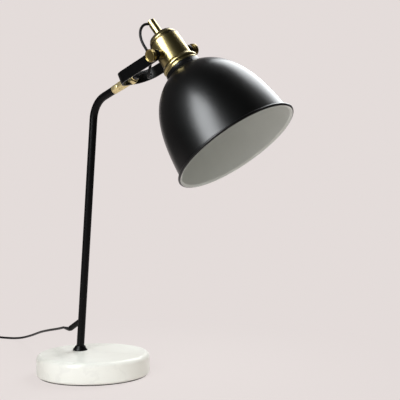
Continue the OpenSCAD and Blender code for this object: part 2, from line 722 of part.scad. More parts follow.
module terminal_screws() color(steel) at_head() for (side = [-1, 1])
    translate([side * screw_at, 0, insert_top]) {
        translate([0, 0, -2.4]) cylinder(d = 5.6, h = 2.4);
        translate([0, 0, -1]) cylinder(d = 3, h = 8);
    }

// ---------- Shade ----------

dome_pull = 46;       // how far the dome keeps its starting direction
mouth_pull = 52;      // how far the dome keeps its direction at the mouth
mouth_flare = 5.5;    // flare of the dome at the mouth, in degrees

// The dome's outline, moved inwards by a wall: one smooth curve from the neck to the rim
function dome(wall, steps) =
    let (a = [neck_d / 2, shade_start], d = [dome_r, shade_end - rim_d],
         b = a + dome_pull * [sin(dome_start), cos(dome_start)],
         c = d - mouth_pull * [sin(mouth_flare), cos(mouth_flare)])
    [for (i = [0:steps])
        let (t = i / steps, s = 1 - t,
             p = s ^ 3 * a + 3 * s ^ 2 * t * b + 3 * s * t ^ 2 * c + t ^ 3 * d,
             v = unit(s ^ 2 * (b - a) + 2 * s * t * (c - b) + t ^ 2 * (d - c)))
        p + wall * [-v.y, v.x]];

function reversed(p) = [for (i = [len(p) - 1:-1:0]) p[i]];

module shade() color(black) at_head() rotate_extrude($fn = 128) union() {
    polygon(concat(
        [[skirt_in + 0.2, flange_top], [neck_d / 2 - 1, flange_top], [neck_d / 2 - 0.4, flange_top + 0.6]],
        dome(0, 24),
        [[dome_r + 0.3, shade_end - rim_d / 2], [dome_r - shade_wall, shade_end - rim_d / 2]],
        reversed(dome(shade_wall, 24)),
        [[neck_d / 2 - shade_wall, flange_top + shade_wall], [skirt_in + 0.2, flange_top + shade_wall]]
    ));
    translate([shade_d / 2 - rim_d / 2, shade_end - rim_d / 2]) circle(d = rim_d, $fn = 24);
    translate([dome_r - shade_wall, shade_end - rim_d / 2 - shade_wall])
        square([shade_d / 2 - rim_d / 2 - dome_r + shade_wall, shade_wall * 2]);
}

module shade_ring() color("#1d1b1a") at_head() translate([0, 0, flange_top + shade_wall])
    ring(shade_ring_d, 2 * skirt_in, shade_ring_h);

// ---------- Cord ----------

module mains_cord() color(black) tube(curve(cord_points, 9), cord_d, cord_d, 8);

// Goes smoothly from 0 to 1 as t does
function eased(t) = t <= 0 ? 0 : t >= 1 ? 1 : t * t * (3 - 2 * t);

// The coil's middle line after turning by a degrees from its start
function coil_point(a) =
    let (layer = min(floor(a / coil_block), coil_layers - 1), w = a - layer * coil_block,
         wound = min(w, 360 * coil_turns) / 360 * coil_pitch,
         r = layer % 2 == 0 ? coil_out - wound : coil_in + wound,
         z = cord_rest + coil_rise * (layer + max(0, w - 360 * coil_turns) / 180))
    [coil_at.x + r * cos(90 + a), coil_at.y + r * sin(90 + a), z];

coil_path = concat(
    [for (x = [-2, 0, cord_d, 9, 14]) [coil_at.x + coil_run - x, coil_at.y + coil_out,
        switch_split + (cord_rest - switch_split) * eased((x - cord_d) / 12)]],
    [for (a = [0:15:coil_sweep]) coil_point(a)],
    [for (x = [7:6.5:33]) [coil_at.x + x, coil_at.y - coil_out,
        coil_top + (plug_tip.z - coil_top) * eased((x - 7) / 26)]],
    [for (x = [36.4, 40, 43]) [coil_at.x + x, plug_tip.y, plug_tip.z]]
);

module cord_coil() color(black) tube(coil_path, cord_d, cord_d, 6);

// Distance between a point and the piece of path from a to b
function reach(p, a, b) =
    let (t = max(0, min(1, (p - a) * (b - a) / ((b - a) * (b - a))))) norm(p - a - t * (b - a));

coil_gap = min([for (i = [0:len(coil_path) - 10]) for (j = [i + 8:len(coil_path) - 2])
    reach(coil_path[i], coil_path[j], coil_path[j + 1])]) - cord_d;

function length_of(p) = len(p) < 2 ? 0 : let (d = [for (i = [1:len(p) - 1]) norm(p[i] - p[i - 1])]) d * [for (x = d) 1];

echo(coil_least_gap = coil_gap);
echo(cord_length = length_of(curve(boot_points, 2.6)) + length_of(curve(cord_points, 9)) + switch_l - 4
    + length_of(coil_path) + plug_boot_l - 3);

// ---------- Cord switch ----------

module at_switch() translate(switch_at) children();

module switch_plan(inset) {
    w = switch_w - 2 * inset;
    for (side = [-1, 1]) translate([side * (switch_l - switch_w) / 2, 0]) circle(d = w);
    translate([(switch_w - switch_l) / 2, -w / 2]) square([switch_l - switch_w, w]);
}

module switch_ways() translate([-switch_l, 0, switch_split]) rotate([0, 90, 0])
    cylinder(d = cord_d + 2 * cord_fit, h = 2 * switch_l);

post_at = switch_l / 2 - switch_wall - 6.5;
post_off = switch_w / 2 - switch_wall - 5;
post_d = 5.4;
case_screw_d = 2.4;
pin_z = switch_h - 5;
window_l = 2 * rocker_r + 0.8;
window_w = rocker_w + 0.8;

module at_posts() for (side = [-1, 1]) translate([side * post_at, side * post_off, 0]) children();

module switch_base() color(black) at_switch() difference() {
    union() {
        difference() {
            linear_extrude(switch_split) switch_plan(0);
            translate([0, 0, switch_wall]) linear_extrude(switch_split) switch_plan(switch_wall);
        }
        at_posts() cylinder(d = post_d, h = switch_split);
    }
    switch_ways();
    at_posts() translate([0, 0, -1]) cylinder(d = case_screw_d + 2 * cord_fit, h = switch_split + 2);
    at_posts() translate([0, 0, -1]) cylinder(d = 4.4, h = 2.4);
}

module switch_cover() color(black) at_switch() difference() {
    union() {
        difference() {
            translate([0, 0, switch_split]) linear_extrude(switch_h - switch_split) switch_plan(0);
            translate([0, 0, switch_split - 1])
                linear_extrude(switch_h - switch_split - switch_wall + 1) switch_plan(switch_wall);
        }
        at_posts() translate([0, 0, switch_split]) cylinder(d = post_d, h = switch_h - switch_split - 1);
        for (side = [-1, 1]) translate([-3, side * (window_w / 2 + 1.2) - 1.2, pin_z - 2.6])
            cube([6, 2.4, switch_h - pin_z + 2]);
    }
    switch_ways();
    translate([-window_l / 2, -window_w / 2, switch_split]) cube([window_l, window_w, switch_h]);
    at_posts() translate([0, 0, switch_split - 1]) cylinder(d = case_screw_d + 2 * seat_fit, h = 8);
    translate([0, 0, pin_z]) rotate([90, 0, 0]) cylinder(d = pin_d + 2 * seat_fit, h = window_w + 8, center = true);
}

module switch_rocker() color("#202024") at_switch() translate([0, 0, pin_z]) rotate([0, rocker_tilt, 0])
    rotate([90, 0, 0]) difference() {
        intersection() {
            cylinder(r = rocker_r, h = rocker_w, center = true);
            translate([0, 0, -rocker_w]) linear_extrude(2 * rocker_w) polygon([
                [-far / 4, -2.2], [far / 4, -2.2], [far / 4, 3.8 + far / 4 * tan(rocker_tilt)], [0, 3.8],
                [-far / 4, 3.8 + far / 4 * tan(rocker_tilt)]
            ]);
        }
        cylinder(d = pin_d + 2 * turn_fit, h = 2 * rocker_w, center = true);
    }

module switch_pin() color(steel) at_switch() translate([0, 0, pin_z]) rotate([90, 0, 0])
    cylinder(d = pin_d, h = window_w + 4.4, center = true);

module switch_screws() color(steel) at_switch() at_posts() {
    translate([0, 0, 0.3]) cylinder(d = 4.2, h = 1.1);
    translate([0, 0, 0.5]) cylinder(d = case_screw_d, h = switch_split + 5.5);
}

module switch_contacts() color(pale_brass) at_switch() for (side = [-1, 1])
    translate([side * 11 - 7, side * 3.4 - 1.5, switch_wall]) cube([14, 3, 1.2]);

// ---------- Plug ----------

module at_plug() translate(plug_tip) children();

plug_back = plug_boot_l;
plug_front = plug_boot_l + plug_l;
pin_depth = 9;

module plug_body() color(black) at_plug() difference() {
    translate([0, 0, -plug_t / 2]) linear_extrude(plug_t) polygon([
        [plug_back, -7], [plug_back + 3, -8.5], [plug_front - 15, 1 - plug_w / 2], [plug_front - 12, -plug_w / 2],
        [plug_front - 1.5, -plug_w / 2], [plug_front, 1.5 - plug_w / 2], [plug_front, plug_w / 2 - 1.5],
        [plug_front - 1.5, plug_w / 2], [plug_front - 12, plug_w / 2], [plug_front - 15, plug_w / 2 - 1],
        [plug_back + 3, 8.5], [plug_back, 7]
    ]);
    for (side = [-1, 1]) translate([plug_front - pin_depth, side * plug_pin_gap / 2, 0]) rotate([0, 90, 0])
        cylinder(d = plug_pin_d + 2 * seat_fit, h = pin_depth + 1);
}

module plug_pins() color(steel) at_plug() for (side = [-1, 1])
    translate([plug_front - pin_depth, side * plug_pin_gap / 2, 0]) rotate([0, 90, 0]) {
        cylinder(d = plug_pin_d, h = pin_depth + plug_pin_l - 1);
        translate([0, 0, pin_depth + plug_pin_l - 1]) cylinder(d1 = plug_pin_d, d2 = plug_pin_d - 1.4, h = 1);
    }

module plug_boot() color(black) at_plug() rotate([0, 90, 0]) difference() {
    cylinder(d1 = 5.6, d2 = 9.6, h = plug_boot_l);
    translate([0, 0, -1]) cylinder(d = cord_d + 2 * cord_fit, h = plug_boot_l - 4);
}

felt_pad();
marble_base();
stem_collar();
stem_stud();
base_washer();
base_nut();
stem_tube();
cord_outlet();
cord_boot();
stem_lead();
arm_ferrule();
yoke_ferrule();
swivel_screw();
yoke_strap();
yoke_nut();
cable_bush();
jumper_lead();
hinge_bosses();
hinge_washers();
near_knob();
far_knob();
cord_tube();
cap_nut();
cup_cap();
holder_cup();
gallery_ring();
holder_insert();
screw_shell();
centre_contact();
terminal_screws();
shade();
shade_ring();
mains_cord();
cord_coil();
switch_base();
switch_cover();
switch_rocker();
switch_pin();
switch_screws();
switch_contacts();
plug_body();
plug_pins();
plug_boot();
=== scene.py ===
import math
import bmesh
import bpy
import numpy as np
from mathutils import Matrix, Vector


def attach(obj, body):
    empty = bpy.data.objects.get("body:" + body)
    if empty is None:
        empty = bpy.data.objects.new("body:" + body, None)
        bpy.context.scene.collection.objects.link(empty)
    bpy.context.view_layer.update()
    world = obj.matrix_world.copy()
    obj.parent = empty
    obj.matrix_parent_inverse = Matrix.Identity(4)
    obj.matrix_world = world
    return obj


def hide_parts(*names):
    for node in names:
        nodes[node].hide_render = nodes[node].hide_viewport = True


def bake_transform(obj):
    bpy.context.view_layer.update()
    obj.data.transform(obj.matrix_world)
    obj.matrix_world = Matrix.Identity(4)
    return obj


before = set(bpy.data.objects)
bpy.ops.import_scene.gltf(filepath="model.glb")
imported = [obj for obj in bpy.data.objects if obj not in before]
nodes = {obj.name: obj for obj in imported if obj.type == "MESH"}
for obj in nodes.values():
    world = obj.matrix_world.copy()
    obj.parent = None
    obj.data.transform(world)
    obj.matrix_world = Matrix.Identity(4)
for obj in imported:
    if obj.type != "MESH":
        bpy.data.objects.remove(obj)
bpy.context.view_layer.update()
scene = bpy.context.scene
scene.view_settings.view_transform = "Standard"

# ---------- Camera ----------
# A long lens from the front right, a little above the foot and almost level, as the lamp was
# photographed. It is rolled by less than a degree.
camera_data = bpy.data.cameras.new("Camera")
camera_data.sensor_width = 36
camera_data.lens = 90
camera_data.clip_end = 30
camera = bpy.data.objects.new("Camera", camera_data)
scene.collection.objects.link(camera)
turn, pitch, roll = math.radians(45.889), math.radians(2.064), math.radians(-0.7)
back = Vector((math.sin(turn) * math.cos(pitch), -math.cos(turn) * math.cos(pitch), math.sin(pitch)))
right = Vector((math.cos(turn), math.sin(turn), 0))
up = back.cross(right)
camera.matrix_world = Matrix.Translation((1.12173, -0.87216, 0.29696)) @ Matrix((
    right * math.cos(roll) + up * math.sin(roll),
    up * math.cos(roll) - right * math.sin(roll),
    back,
)).transposed().to_4x4()
scene.camera = camera

# ---------- Mains cord ----------
# A round two-core lead, 1.8 m long, in black plastic. It leaves the strain relief, lies on the
# table, runs through its switch, is wound into a coil and ends in the plug.
MM = 0.001
CORD_D = 3.6
CORD_REST = CORD_D / 2 + 0.05
SWITCH_AT, SWITCH_L, SWITCH_SPLIT = (-417, 72), 62, 4.5
PLUG_T = 13.7


def unit(v):
    return np.array(v, float) / np.linalg.norm(v)


def smooth_path(points, step):
    """A smooth curve through the points, with a point about every step."""
    p = np.array(points, float)
    out = []
    for i in range(len(p) - 1):
        a, b, c, d = p[max(i - 1, 0)], p[i], p[i + 1], p[min(i + 2, len(p) - 1)]
        n = max(1, round(np.linalg.norm(c - b) / step))
        for j in range(n + (i == len(p) - 2)):
            t = j / n
            out.append((2 * b + (c - a) * t + (2 * a - 5 * b + 4 * c - d) * t ** 2
                        + (3 * b - a - 3 * c + d) * t ** 3) / 2)
    return np.array(out)


def eased(t):
    t = min(max(t, 0), 1)
    return t * t * (3 - 2 * t)


cord_tip = np.array([-73, 6.5, 57.2])
cord_way = unit([-8, 3, -0.6])
switch_face = SWITCH_AT[0] + SWITCH_L / 2
free_path = smooth_path([
    cord_tip, cord_tip + 5 * cord_way, cord_tip + 11 * cord_way, (-95, 14.5, 53.8), (-115, 21, 49.5),
    (-157, 36, 41), (-207, 55, 30), (-257, 73, 17), (-298, 83, 7), (-322, 83, 3), (-341, 79, CORD_REST),
    (-356, 74.5, CORD_REST), (switch_face + 15, 72.2, 3.3), (switch_face + 8, SWITCH_AT[1], SWITCH_SPLIT),
    (switch_face + 3, SWITCH_AT[1], SWITCH_SPLIT), (switch_face - 2, SWITCH_AT[1], SWITCH_SPLIT),
], 4)

LAYERS, TURNS, PITCH, RISE, COIL_R, COIL_RUN = 4, 2, CORD_D + 1.1, CORD_D + 0.5, 21.6, 20
coil_out, coil_in = COIL_R + TURNS * PITCH / 2, COIL_R - TURNS * PITCH / 2
coil_x, coil_y = SWITCH_AT[0] - SWITCH_L / 2 - COIL_RUN, SWITCH_AT[1] - coil_out
coil_top = CORD_REST + (LAYERS - 1) * RISE
block = 360 * TURNS + 180


def coil_point(a):
    layer = min(int(a // block), LAYERS - 1)
    w = a - layer * block
    wound = min(w, 360 * TURNS) / 360 * PITCH
    r = coil_out - wound if layer % 2 == 0 else coil_in + wound
    z = CORD_REST + RISE * (layer + max(0, w - 360 * TURNS) / 180)
    return (coil_x + r * math.cos(math.radians(90 + a)), coil_y + r * math.sin(math.radians(90 + a)), z)


coil_path = [(coil_x + COIL_RUN - x, coil_y + coil_out,
              SWITCH_SPLIT + (CORD_REST - SWITCH_SPLIT) * eased((x - CORD_D) / 12))
             for x in (-2, 0, 1.8, 3.6, 6, 9, 12, 15.6)]
coil_path += [coil_point(a) for a in np.arange(0, block * LAYERS - 180 + 1, 7.5)]
coil_path += [(coil_x + x, coil_y - coil_out, coil_top + (PLUG_T / 2 - coil_top) * eased((x - 7) / 26))
              for x in np.arange(5, 34, 3.5)]
coil_path += [(coil_x + x, coil_y - coil_out, PLUG_T / 2) for x in (36.4, 40, 43)]
lead_path = np.concatenate([free_path, coil_path])

# Shared by every finish: a colour that drifts a little, a roughness that follows it and a fine grain
uneven = bpy.data.node_groups.new("Uneven finish", "ShaderNodeTree")
for name, kind, value in (
    ("Colour", "NodeSocketColor", (0.5, 0.5, 0.5, 1)), ("Patches", "NodeSocketColor", (0.4, 0.4, 0.4, 1)),
    ("Patch scale", "NodeSocketFloat", 30), ("Grain scale", "NodeSocketFloat", 900),
    ("Roughness", "NodeSocketFloat", 0.4), ("Roughness spread", "NodeSocketFloat", 0.1),
):
    uneven.interface.new_socket(name, in_out="INPUT", socket_type=kind).default_value = value
for name, kind in (("Colour", "NodeSocketColor"), ("Roughness", "NodeSocketFloat"), ("Height", "NodeSocketFloat")):
    uneven.interface.new_socket(name, in_out="OUTPUT", socket_type=kind)


def join(tree, *pairs):
    for a, b in pairs:
        tree.links.new(a, b)


def math_node(tree, kind, a, b):
    node = tree.nodes.new("ShaderNodeMath")
    node.operation = kind
    for socket, value in zip(node.inputs, (a, b)):
        if isinstance(value, (int, float)):
            socket.default_value = value
        else:
            tree.links.new(value, socket)
    return node.outputs[0]


given = uneven.nodes.new("NodeGroupInput").outputs
result = uneven.nodes.new("NodeGroupOutput").inputs
place = uneven.nodes.new("ShaderNodeTexCoord").outputs["Object"]
patches = uneven.nodes.new("ShaderNodeTexNoise")
patches.inputs["Detail"].default_value = 5
patches.inputs["Roughness"].default_value = 0.6
grain = uneven.nodes.new("ShaderNodeTexNoise")
grain.inputs["Detail"].default_value = 3
mix = uneven.nodes.new("ShaderNodeMix")
mix.data_type = "RGBA"
join(uneven, (place, patches.inputs["Vector"]), (place, grain.inputs["Vector"]),
     (given["Patch scale"], patches.inputs["Scale"]), (given["Grain scale"], grain.inputs["Scale"]),
     (patches.outputs["Fac"], mix.inputs["Factor"]), (given["Colour"], mix.inputs["A"]),
     (given["Patches"], mix.inputs["B"]), (mix.outputs["Result"], result["Colour"]),
     (grain.outputs["Fac"], result["Height"]))
drift = math_node(uneven, "MULTIPLY", math_node(uneven, "SUBTRACT", patches.outputs["Fac"], 0.5),
                  given["Roughness spread"])
join(uneven, (math_node(uneven, "ADD", given["Roughness"], drift), result["Roughness"]))


def finish(name, colour, patches, roughness, spread=0.1, patch_scale=30, grain_scale=900, bump=0.02, **sockets):
    """A material with the uneven finish in it. The other sockets are set on its shader."""
    material = bpy.data.materials.new(name)
    material.use_nodes = True
    tree = material.node_tree
    shader = tree.nodes["Principled BSDF"]
    for socket, value in sockets.items():
        shader.inputs[socket.replace("_", " ")].default_value = value
    effect = tree.nodes.new("ShaderNodeGroup")
    effect.node_tree = uneven
    effect.inputs["Colour"].default_value = (*colour, 1)
    effect.inputs["Patches"].default_value = (*patches, 1)
    effect.inputs["Patch scale"].default_value = patch_scale
    effect.inputs["Grain scale"].default_value = grain_scale
    effect.inputs["Roughness"].default_value = roughness
    effect.inputs["Roughness spread"].default_value = spread
    relief = tree.nodes.new("ShaderNodeBump")
    relief.inputs["Strength"].default_value = bump
    relief.inputs["Distance"].default_value = 0.0005
    join(tree, (effect.outputs["Colour"], shader.inputs["Base Color"]),
         (effect.outputs["Roughness"], shader.inputs["Roughness"]),
         (effect.outputs["Height"], relief.inputs["Height"]), (relief.outputs["Normal"], shader.inputs["Normal"]))
    return material


def paint(material, *names):
    """Gives CAD nodes their finish."""
    for name in names:
        for slot in nodes[name].material_slots:
            slot.material = material


lead_plastic = finish("Lead plastic", (0.004, 0.004, 0.0043), (0.007, 0.007, 0.0073), 0.42, bump=0.05,
                      grain_scale=700, Specular_IOR_Level=0.15)

curve = bpy.data.curves.new("mains_lead", "CURVE")
curve.dimensions = "3D"
curve.bevel_depth = CORD_D / 2 * MM
curve.bevel_resolution = 5
curve.use_fill_caps = True
line = curve.splines.new("POLY")
line.points.add(len(lead_path) - 1)
line.points.foreach_set("co", np.c_[lead_path * MM, np.ones(len(lead_path))].ravel())
line.use_smooth = True
mains_lead = bpy.data.objects.new("mains_lead", curve)
scene.collection.objects.link(mains_lead)
curve.materials.append(lead_plastic)
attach(mains_lead, "stand")
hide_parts("mains_cord", "cord_coil")

# ---------- Lead between the arm and the holder ----------
# The same lead, inside the stem and then free for a hand's width. It drops out of the bush in the
# yoke, rises beside the cup and goes down into the small tube on the cap.
STEM_LEAN, ARM_RISE, SWIVEL, HEAD_DROP = (math.radians(a) for a in (6.8, 18.8, 10, 73.3))
FOOT, STEM_L, BEND_R = np.array([-30, 0, 31.0]), 356, 36.6
ARM_STRAIGHT, ARM_FERRULE_L, SWIVEL_GAP, YOKE_FERRULE_L, STRAP_T, YOKE_DEPTH = 23.8, 12.5, 0.4, 22.4, 2.3, 87
stem_way = np.array([math.sin(STEM_LEAN), 0, math.cos(STEM_LEAN)])
arm_way = np.array([math.cos(ARM_RISE), 0, math.sin(ARM_RISE)])
corner = FOOT + STEM_L * stem_way
bend_reach = BEND_R * math.tan((math.pi / 2 - STEM_LEAN - ARM_RISE) / 2)
hinge = corner + (bend_reach + ARM_STRAIGHT + ARM_FERRULE_L + SWIVEL_GAP + YOKE_FERRULE_L + STRAP_T
                  + YOKE_DEPTH) * arm_way
yoke_turn = Matrix.Rotation(-ARM_RISE, 3, "Y") @ Matrix.Rotation(SWIVEL, 3, "X")
head_turn = yoke_turn @ Matrix.Rotation(math.pi / 2 + HEAD_DROP, 3, "Y")
yoke_turn, head_turn = np.array(yoke_turn), np.array(head_turn)


def tube(name, path, radii, sides):
    """A closed round tube along a path in millimetres, with a radius for each point."""
    path = np.array(path, float)
    radii = np.broadcast_to(radii, len(path))
    heading = np.array([unit(path[min(i + 1, len(path) - 1)] - path[max(i - 1, 0)]) for i in range(len(path))])
    side = unit(np.cross(heading[0], (0, 0, 1) if abs(heading[0][2]) < 0.9 else (1, 0, 0)))
    mesh = bmesh.new()
    rings = []
    for centre, way, radius in zip(path, heading, radii):
        side = unit(side - way * side.dot(way))
        other = np.cross(way, side)
        rings.append([mesh.verts.new((centre + radius * (math.cos(a) * side + math.sin(a) * other)) * MM)
                      for a in np.arange(sides) * 2 * math.pi / sides])
    for a, b in zip(rings, rings[1:]):
        for j in range(sides):
            k = (j + 1) % sides
            mesh.faces.new((a[j], a[k], b[k], b[j])).smooth = True
    mesh.faces.new(rings[0][::-1])
    mesh.faces.new(rings[-1])
    return piece(name, mesh)


def piece(name, mesh):
    """Makes a scene object of a bmesh."""
    bmesh.ops.recalc_face_normals(mesh, faces=mesh.faces)
    data = bpy.data.meshes.new(name)
    mesh.to_mesh(data)
    mesh.free()
    thing = bpy.data.objects.new(name, data)
    scene.collection.objects.link(thing)
    return thing


def in_yoke(p):
    return hinge + yoke_turn @ np.array(p, float)


def on_head(t, r=0.0, turn=0.0):
    return hinge + head_turn @ np.array([r * math.cos(turn), r * math.sin(turn), t])


holder_route = [in_yoke(p) for p in (
    (-95.8, 0, 0), (-86, 0, 0), (-76, 0, 0), (-72, 0.2, 0), (-65.5, 2, 0.3), (-59.3, 4.2, -1),
    (-54.8, 4.6, -5.6), (-53.4, 1.5, -10.2), (-51.8, -3.4, -12.2), (-47.5, -7.6, -11.6), (-41.5, -10.8, -9),
    (-34, -13.2, -4.6), (-27, -15.5, 1), (-23.2, -18, 8.5), (-22.1, -19.6, 16), (-22.9, -20.6, 24),
    (-23.2, -20.6, 31), (-22.7, -19.6, 37.5), (-21.6, -17.2, 43.1), (-21, -13.6, 46.6),
    (-20.7, -10.2, 48.6), (-19.7, -6.9, 49.4), (-17.9, -3.9, 48.7), (-15.6, -1.6, 47.4), (-13.9, -0.3, 44.9),
    (-12.5, 0, 41.6), (-11.2, 0, 37.36),
)] + [on_head(t) for t in (-32, -24, -14.7)]
holder_path = smooth_path(holder_route, 1.5)
holder_lead = tube("holder_lead", holder_path, CORD_D / 2, 16)
holder_lead.data.materials.append(lead_plastic)
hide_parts("jumper_lead")
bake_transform(holder_lead)


def rounded(corner, u, v, r, steps):
    """Points on the arc that rounds a corner whose two lines leave it along u and v."""
    turn = math.acos(-u.dot(v))
    mid = corner + unit(u + v) * r / math.cos(turn / 2)
    a, b = (corner + w * r * math.tan(turn / 2) - mid for w in (u, v))
    return [mid + (math.sin(turn - turn * i / steps) * a + math.sin(turn * i / steps) * b) / math.sin(turn)
            for i in range(steps + 1)]


OUTLET_DROP, OUTLET_AT, OUTLET_L = math.radians(29), 44.5, 31.5
outlet_way = np.array([-math.cos(OUTLET_DROP), 0, -math.sin(OUTLET_DROP)])
outlet_root = FOOT + OUTLET_AT * stem_way
outlet_mouth = outlet_root + OUTLET_L * outlet_way
inner_lead = tube("inner_lead", [outlet_mouth - 6.3 * outlet_way]
                  + rounded(outlet_root, outlet_way, stem_way, 6, 8)
                  + rounded(corner, -stem_way, arm_way, BEND_R, 16) + [hinge - 96.2 * arm_way], CORD_D / 2, 12)
inner_lead.data.materials.append(lead_plastic)
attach(inner_lead, "stand")
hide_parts("stem_lead")

# ---------- Strain relief ----------
# A soft black moulding with grooves around it. Its plug sits in the outlet's bore, and its
# tapered sleeve lets the cord turn level without a sharp bend.
PLUG_L, PLUG_R, ROOT_R, TIP_R, GROOVE_PITCH, GROOVE_DEPTH = 6, 2.45, 2.9, 2.2, 2.6, 0.3
relief_path = smooth_path([outlet_mouth - PLUG_L * outlet_way, outlet_mouth - 3 * outlet_way, outlet_mouth,
                           outlet_mouth + 3 * outlet_way, cord_tip - 9 * cord_way,
                           cord_tip - 4.5 * cord_way, cord_tip], 0.5)
along = np.concatenate([[0], np.cumsum(np.linalg.norm(np.diff(relief_path, axis=0), axis=1))])
share = np.clip((along - PLUG_L) / (along[-1] - PLUG_L), 0, 1)
sleeve = ROOT_R + (TIP_R - ROOT_R) * share
waves = np.clip(np.cos((along - PLUG_L) / GROOVE_PITCH * 2 * math.pi) - 0.2, 0, 1)
groove = GROOVE_DEPTH * waves * (share > 0.08) * (share < 0.93)
relief_radii = np.where(along < PLUG_L, PLUG_R, sleeve - groove)
soft_rubber = finish("Soft rubber", (0.008, 0.008, 0.008), (0.013, 0.013, 0.013), 0.5, grain_scale=500, bump=0.08,
                     Specular_IOR_Level=0.3)
cord_relief = tube("cord_relief", relief_path, relief_radii, 24)
cord_relief.data.materials.append(soft_rubber)
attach(cord_relief, "stand")
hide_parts("cord_boot")

# ---------- Foot ----------
# A turned and honed disc of white marble with eased edges, on a felt pad. A steel washer and nut
# in a recess below pull the stem's threaded stud tight.
marble = bpy.data.materials.new("White marble")
marble.use_nodes = True
tree = marble.node_tree
shader = tree.nodes["Principled BSDF"]
shader.inputs["Specular IOR Level"].default_value = 0.12
shader.inputs["Coat Weight"].default_value = 0.26
shader.inputs["Coat Roughness"].default_value = 0.08
place = tree.nodes.new("ShaderNodeTexCoord").outputs["Object"]
cloud = tree.nodes.new("ShaderNodeTexNoise")
cloud.inputs["Scale"].default_value = 9
cloud.inputs["Detail"].default_value = 6
bent = tree.nodes.new("ShaderNodeMixRGB")
bent.blend_type = "ADD"
bent.inputs["Fac"].default_value = 0.12
vein = tree.nodes.new("ShaderNodeTexNoise")
vein.inputs["Scale"].default_value = 11
vein.inputs["Detail"].default_value = 8
vein.inputs["Roughness"].default_value = 0.55
join(tree, (place, cloud.inputs["Vector"]), (place, bent.inputs["Color1"]),
     (cloud.outputs["Color"], bent.inputs["Color2"]), (bent.outputs["Color"], vein.inputs["Vector"]))
thin = tree.nodes.new("ShaderNodeValToRGB")
thin.color_ramp.elements[0].position = 0.47
thin.color_ramp.elements[0].color = (0, 0, 0, 1)
thin.color_ramp.elements[1].position = 0.53
thin.color_ramp.elements[1].color = (0, 0, 0, 1)
thin.color_ramp.elements.new(0.5).color = (1, 1, 1, 1)
body_colour = tree.nodes.new("ShaderNodeValToRGB")
body_colour.color_ramp.elements[0].position = 0.35
body_colour.color_ramp.elements[0].color = (0.75, 0.745, 0.69, 1)
body_colour.color_ramp.elements[1].position = 0.65
body_colour.color_ramp.elements[1].color = (0.83, 0.84, 0.79, 1)
veined = tree.nodes.new("ShaderNodeMix")
veined.data_type = "RGBA"
veined.inputs["B"].default_value = (0.62, 0.62, 0.6, 1)
faint = math_node(tree, "MULTIPLY", thin.outputs["Color"], 0.22)
join(tree, (vein.outputs["Fac"], thin.inputs["Fac"]), (cloud.outputs["Fac"], body_colour.inputs["Fac"]),
     (faint, veined.inputs["Factor"]), (body_colour.outputs["Color"], veined.inputs["A"]),
     (veined.outputs["Result"], shader.inputs["Base Color"]))
honed = math_node(tree, "ADD", math_node(tree, "MULTIPLY", cloud.outputs["Fac"], 0.15), 0.35)
join(tree, (honed, shader.inputs["Roughness"]))
paint(marble, "marble_base")

felt = finish("Felt", (0.05, 0.045, 0.042), (0.09, 0.085, 0.08), 0.95, spread=0.05, patch_scale=400,
              grain_scale=2500, bump=0.6, Sheen_Weight=0.3)
paint(felt, "felt_pad")
zinc = finish("Zinced steel", (0.55, 0.56, 0.57), (0.42, 0.43, 0.45), 0.35, spread=0.2, patch_scale=120,
              grain_scale=1500, bump=0.05, Metallic=1)
paint(zinc, "base_washer", "base_nut", "stem_stud", "swivel_screw", "terminal_screws", "switch_pin",
      "switch_screws")

# ---------- Stem ----------
# Steel tube, bent near its top, with a flared collar at its foot and a short slanted outlet
# welded on for the cord. All of it has the same satin black powder coat.
powder_coat = finish("Black powder coat", (0.0016, 0.0016, 0.0018), (0.0024, 0.0024, 0.0026), 0.36, spread=0.12,
                     patch_scale=60, grain_scale=1400, bump=0.06, Specular_IOR_Level=0.11)
paint(powder_coat, "stem_tube", "stem_collar", "cord_outlet")

# ---------- Ferrules ----------
# Turned brass, polished and lacquered: one ferrule is pressed into the arm, and the other turns
# on its hollow stem and is kept there by a grub screw. Their seam shows as a fine dark line.
lines = bpy.data.node_groups.new("Turning lines", "ShaderNodeTree")
for name, kind in (("Axis", "NodeSocketVector"), ("Lines", "NodeSocketFloat")):
    lines.interface.new_socket(name, in_out="INPUT", socket_type=kind)
lines.interface.new_socket("Height", in_out="OUTPUT", socket_type="NodeSocketFloat")
given = lines.nodes.new("NodeGroupInput").outputs
place = lines.nodes.new("ShaderNodeTexCoord").outputs["Object"]
distance = lines.nodes.new("ShaderNodeVectorMath")
distance.operation = "DOT_PRODUCT"
stripes = lines.nodes.new("ShaderNodeTexNoise")
stripes.noise_dimensions = "1D"
stripes.inputs["Detail"].default_value = 3
join(lines, (place, distance.inputs[0]), (given["Axis"], distance.inputs[1]),
     (distance.outputs["Value"], stripes.inputs["W"]), (given["Lines"], stripes.inputs["Scale"]),
     (stripes.outputs["Fac"], lines.nodes.new("NodeGroupOutput").inputs["Height"]))


def turned(material, axis, count, strength):
    """Adds fine turning lines around an axis to a finish."""
    tree = material.node_tree
    effect = tree.nodes.new("ShaderNodeGroup")
    effect.node_tree = lines
    effect.inputs["Axis"].default_value = tuple(axis)
    effect.inputs["Lines"].default_value = count
    relief = next(n for n in tree.nodes if n.type == "BUMP")
    over = tree.nodes.new("ShaderNodeBump")
    over.inputs["Strength"].default_value = strength
    over.inputs["Distance"].default_value = 0.0002
    join(tree, (effect.outputs["Height"], over.inputs["Height"]),
         (relief.outputs["Normal"], over.inputs["Normal"]),
         (over.outputs["Normal"], tree.nodes["Principled BSDF"].inputs["Normal"]))
    return material


bright_brass = turned(finish("Polished brass", (0.9, 0.76, 0.42), (0.82, 0.68, 0.36), 0.42, spread=0.08,
                             patch_scale=80, bump=0.002, Metallic=1), arm_way, 900, 0.005)
paint(bright_brass, "yoke_nut", "screw_shell", "centre_contact", "switch_contacts")


